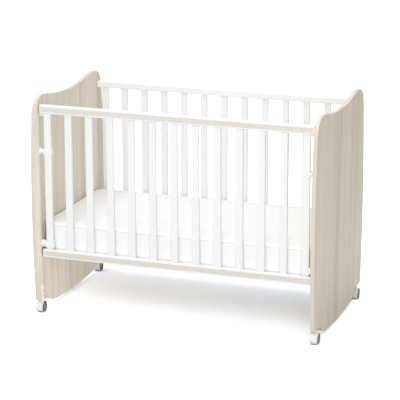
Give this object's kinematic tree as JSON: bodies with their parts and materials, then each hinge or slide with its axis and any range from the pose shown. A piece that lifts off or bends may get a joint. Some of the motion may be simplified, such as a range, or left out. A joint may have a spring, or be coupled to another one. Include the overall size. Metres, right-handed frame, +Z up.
{
  "type": "rocking crib",
  "caption": "Rocking crib with curved rocker end panels, slatted sides, a front side that drops in guides, a slatted base with a mattress, and pull-out swivel casters.",
  "frame": {"origin": "on the floor under the middle of the crib, standing on its casters", "axes": "+X along the crib towards the right end panel, +Y from the front (drop side) to the rear, +Z up"},
  "size_m": [1.2576, 0.7444, 0.9425],
  "materials": {
    "board": "matte",
    "strip": "matte",
    "paint": "satin",
    "plastic": "satin",
    "bare_wood": "matte",
    "cover": "matte",
    "steel": "satin",
    "wheel": "matte"
  },
  "bodies": {
    "frame": {"end_panel_left": "board", "end_panel_right": "board", "rear_top_rail": "paint", "rear_bottom_rail": "paint", "rear_slat_01": "paint", "rear_slat_02": "paint", "rear_slat_03": "paint", "rear_slat_04": "paint", "rear_slat_05": "paint", "rear_slat_06": "paint", "rear_slat_07": "paint", "rear_slat_08": "paint", "rear_slat_09": "paint", "rear_slat_10": "paint", "rear_slat_11": "paint", "rear_slat_12": "paint", "rear_slat_13": "paint", "upper_guide_left": "plastic", "upper_guide_right": "plastic", "lower_guide_left": "plastic", "lower_guide_right": "plastic", "base_cleat_left": "bare_wood", "base_cleat_right": "bare_wood", "mattress_base": "bare_wood", "caster_bracket_front_left": "plastic", "caster_bracket_front_right": "plastic", "caster_bracket_rear_left": "plastic", "caster_bracket_rear_right": "plastic"},
    "drop_side": {"front_top_rail": "paint", "front_bottom_rail": "paint", "front_top_inlay": "strip", "front_bottom_inlay": "strip", "rail_buffer_left": "plastic", "rail_buffer_right": "plastic", "front_slat_01": "paint", "front_slat_02": "paint", "front_slat_03": "paint", "front_slat_04": "paint", "front_slat_05": "paint", "front_slat_06": "paint", "front_slat_07": "paint", "front_slat_08": "paint", "front_slat_09": "paint", "front_slat_10": "paint", "front_slat_11": "paint", "front_slat_12": "paint", "front_slat_13": "paint"},
    "mattress": {"mattress": "cover"},
    "caster_stem_front_left": {"caster_stem_front_left": "steel"},
    "caster_stem_front_right": {"caster_stem_front_right": "steel"},
    "caster_stem_rear_left": {"caster_stem_rear_left": "steel"},
    "caster_stem_rear_right": {"caster_stem_rear_right": "steel"},
    "caster_hood_front_left": {"caster_hood_front_left": "plastic"},
    "caster_hood_front_right": {"caster_hood_front_right": "plastic"},
    "caster_hood_rear_left": {"caster_hood_rear_left": "plastic"},
    "caster_hood_rear_right": {"caster_hood_rear_right": "plastic"},
    "caster_wheels_front_left": {"caster_wheels_front_left": "wheel"},
    "caster_wheels_front_right": {"caster_wheels_front_right": "wheel"},
    "caster_wheels_rear_left": {"caster_wheels_rear_left": "wheel"},
    "caster_wheels_rear_right": {"caster_wheels_rear_right": "wheel"}
  },
  "joints": [
    {"name": "drop_side_slide", "type": "slide", "parent": "frame", "child": "drop_side", "axis": [0, 0, 1], "range_m": [-0.135, 0.006]},
    {"name": "mattress_lift", "type": "slide", "parent": "frame", "child": "mattress", "axis": [0, 0, 1], "range_m": [0, 0.68]},
    {"name": "caster_pull_front_left", "type": "slide", "parent": "frame", "child": "caster_stem_front_left", "axis": [0, 0, -1], "range_m": [0, 0.045]},
    {"name": "caster_pull_front_right", "type": "slide", "parent": "frame", "child": "caster_stem_front_right", "axis": [0, 0, -1], "range_m": [0, 0.045]},
    {"name": "caster_pull_rear_left", "type": "slide", "parent": "frame", "child": "caster_stem_rear_left", "axis": [0, 0, -1], "range_m": [0, 0.045]},
    {"name": "caster_pull_rear_right", "type": "slide", "parent": "frame", "child": "caster_stem_rear_right", "axis": [0, 0, -1], "range_m": [0, 0.045]},
    {"name": "caster_swivel_front_left", "type": "hinge", "parent": "caster_stem_front_left", "child": "caster_hood_front_left", "pos_m": [-0.612, -0.311, 0.05], "axis": [0, 0, 1], "continuous": true},
    {"name": "caster_swivel_front_right", "type": "hinge", "parent": "caster_stem_front_right", "child": "caster_hood_front_right", "pos_m": [0.612, -0.311, 0.05], "axis": [0, 0, 1], "continuous": true},
    {"name": "caster_swivel_rear_left", "type": "hinge", "parent": "caster_stem_rear_left", "child": "caster_hood_rear_left", "pos_m": [-0.612, 0.311, 0.05], "axis": [0, 0, 1], "continuous": true},
    {"name": "caster_swivel_rear_right", "type": "hinge", "parent": "caster_stem_rear_right", "child": "caster_hood_rear_right", "pos_m": [0.612, 0.311, 0.05], "axis": [0, 0, 1], "continuous": true},
    {"name": "caster_spin_front_left", "type": "hinge", "parent": "caster_hood_front_left", "child": "caster_wheels_front_left", "pos_m": [-0.612, -0.3194, 0.023], "axis": [1, 0, 0], "continuous": true},
    {"name": "caster_spin_front_right", "type": "hinge", "parent": "caster_hood_front_right", "child": "caster_wheels_front_right", "pos_m": [0.612, -0.3194, 0.023], "axis": [1, 0, 0], "continuous": true},
    {"name": "caster_spin_rear_left", "type": "hinge", "parent": "caster_hood_rear_left", "child": "caster_wheels_rear_left", "pos_m": [-0.612, 0.3026, 0.023], "axis": [1, 0, 0], "continuous": true},
    {"name": "caster_spin_rear_right", "type": "hinge", "parent": "caster_hood_rear_right", "child": "caster_wheels_rear_right", "pos_m": [0.612, 0.3026, 0.023], "axis": [1, 0, 0], "continuous": true}
  ]
}
